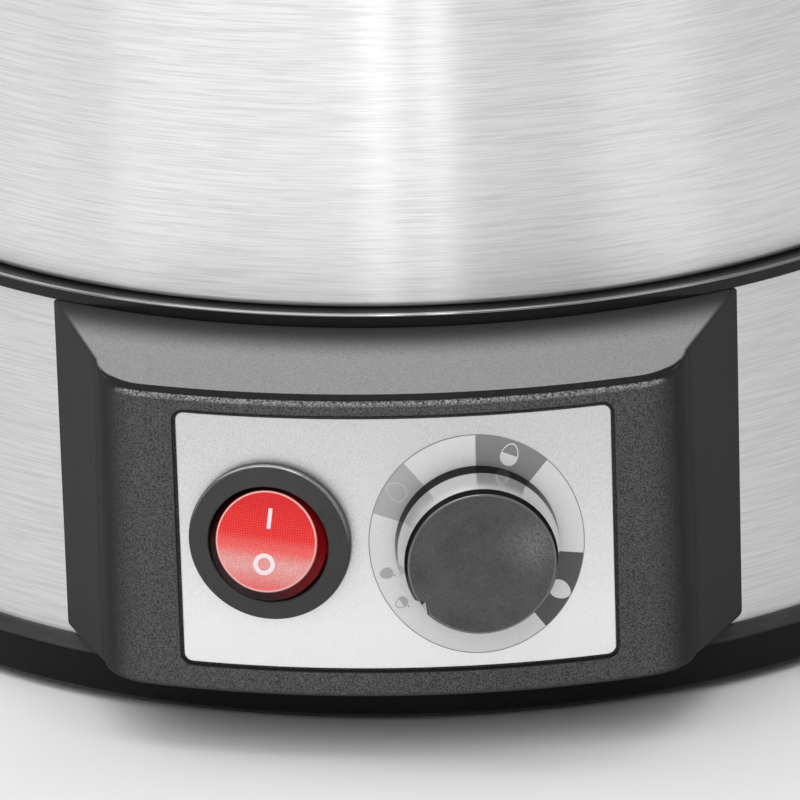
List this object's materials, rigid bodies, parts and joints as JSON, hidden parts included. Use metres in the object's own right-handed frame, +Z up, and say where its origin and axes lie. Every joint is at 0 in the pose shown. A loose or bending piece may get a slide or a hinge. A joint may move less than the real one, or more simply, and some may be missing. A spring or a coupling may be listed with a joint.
{
  "type": "egg cooker",
  "caption": "Round steel egg cooker with a lift-off domed lid, a lift-out egg tray over a heated bowl, and a black front console with a lit rocker switch and a hardness knob.",
  "frame": {"origin": "on the table under the middle of the whole outline; the housing's round axis is 12.1 mm behind it, because the console and knob stand out at the front", "axes": "+Z up, the console and its controls face -Y, +X to the right seen from the front"},
  "size_m": [0.183, 0.2072, 0.1628],
  "materials": {
    "foot_rubber": "matte",
    "base_plastic": "satin moulded black",
    "plated_steel": "zinc plated",
    "band_steel": "brushed round the housing",
    "gloss_black": "polished black",
    "seal_silicone": "matte",
    "bowl_steel": "fine satin",
    "cast_aluminium": "as cast",
    "element_sheath": "heat-tinted steel",
    "terminal_brass": "plain",
    "fuse_ceramic": "matte",
    "console_plastic": "fine-grained moulded black",
    "label_aluminium": "fine-grained silver",
    "switch_plastic": "satin black",
    "rocker_red": "see-through red, lit from behind",
    "lamp_glass": "clear",
    "knob_plastic": "satin face, polished side",
    "pot_case": "plain",
    "board_green": "coated fibreglass",
    "component_black": "matte",
    "capacitor_yellow": "dipped",
    "capacitor_blue": "sleeved",
    "block_ivory": "matte",
    "lead_red": "silicone sleeve",
    "tray_steel": "bright satin",
    "grip_plastic": "satin black",
    "lid_steel": "brushed round the lid"
  },
  "bodies": {
    "base": {"rubber_feet": "foot_rubber", "base_pan": "base_plastic", "case_screws": "plated_steel", "housing_band": "band_steel", "rim_ring": "gloss_black", "bowl_seal": "seal_silicone", "heating_bowl": "bowl_steel", "heater_plate": "cast_aluminium", "heating_element": "element_sheath", "element_terminals": "terminal_brass", "clamp_plate": "plated_steel", "clamp_nuts": "plated_steel", "sensor_capsule": "plated_steel", "sensor_spring": "plated_steel", "thermal_fuse": "fuse_ceramic", "fuse_clip": "plated_steel", "control_console": "console_plastic", "console_screws": "plated_steel", "label_plate": "label_aluminium", "switch_frame": "switch_plastic", "switch_lamp": "lamp_glass", "switch_terminals": "terminal_brass", "pot_body": "pot_case", "pot_nut": "plated_steel", "circuit_board": "board_green", "board_screws": "plated_steel", "relay": "component_black", "film_capacitor": "capacitor_yellow", "smoothing_capacitor": "capacitor_blue", "control_chip": "component_black", "buzzer": "component_black", "terminal_block": "block_ivory", "cord_gland": "base_plastic", "gland_nut": "base_plastic", "inner_leads": "lead_red"},
    "knob": {"control_knob": "knob_plastic", "pot_shaft": "plated_steel"},
    "rocker": {"switch_rocker": "rocker_red"},
    "tray": {"egg_tray": "tray_steel", "tray_loops": "tray_steel", "tray_grips": "grip_plastic"},
    "lid": {"lid": "lid_steel", "lid_handle": "grip_plastic", "handle_washers": "plated_steel", "handle_screws": "plated_steel"}
  },
  "joints": [
    {"name": "tray_lift", "type": "slide", "parent": "base", "child": "tray", "axis": [0, 0, 1], "range_m": [0, 0.12]},
    {"name": "lid_lift", "type": "slide", "parent": "tray", "child": "lid", "axis": [0, 0, 1], "range_m": [0, 0.12]},
    {"name": "knob_turn", "type": "hinge", "parent": "base", "child": "knob", "pos_m": [0.01173, -0.09328, 0.0333], "axis": [-0.1106, 0.9939, 0], "range_deg": [0, 270]},
    {"name": "rocker_tilt", "type": "hinge", "parent": "base", "child": "rocker", "pos_m": [-0.01729, -0.09292, 0.0333], "axis": [0.9822, -0.1617, -0.0958], "range_deg": [0, 24]}
  ]
}
